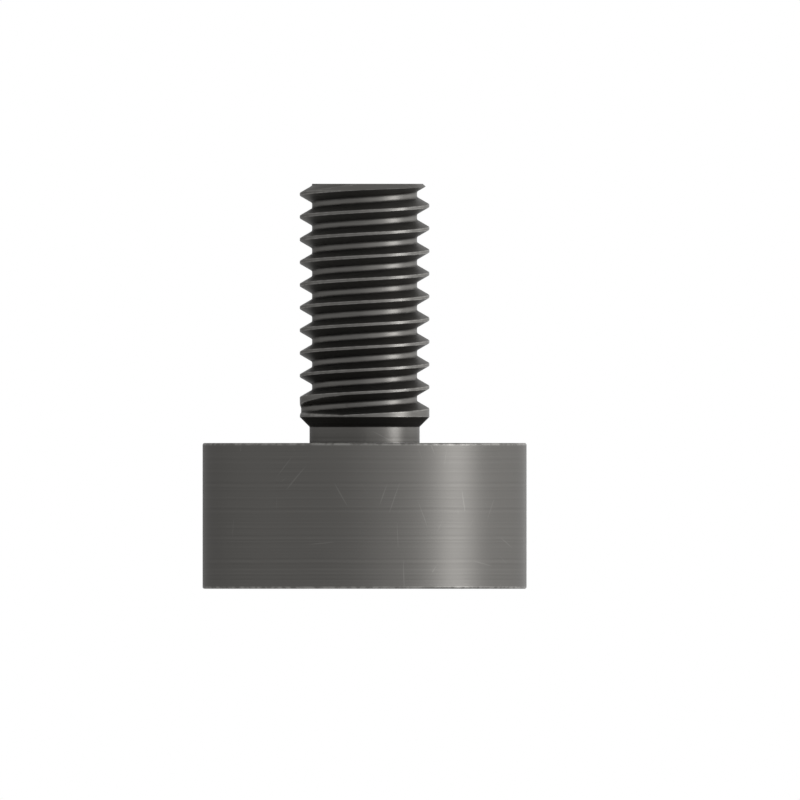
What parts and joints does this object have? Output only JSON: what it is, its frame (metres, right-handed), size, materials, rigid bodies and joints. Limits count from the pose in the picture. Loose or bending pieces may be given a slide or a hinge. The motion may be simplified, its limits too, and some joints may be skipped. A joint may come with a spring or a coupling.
{
  "type": "pot magnet",
  "caption": "Round steel cup with a disc magnet potted in its open face, and a short metric threaded stud on its back for bolting it to a plate or screwing it into a tapped hole.",
  "frame": {"origin": "centre of the holding face, in the plane of the cup's rim", "axes": "+Z along the stud, from the holding face towards the stud's tip; X and Y are equivalent"},
  "size_m": [0.01, 0.01, 0.0125],
  "materials": {
    "pot_steel": "satin",
    "stud_steel": "satin",
    "magnet_plating": "satin",
    "potting_resin": "gloss"
  },
  "bodies": {
    "root": {"pot": "pot_steel", "stud": "stud_steel", "magnet": "magnet_plating", "resin": "potting_resin"}
  },
  "joints": []
}
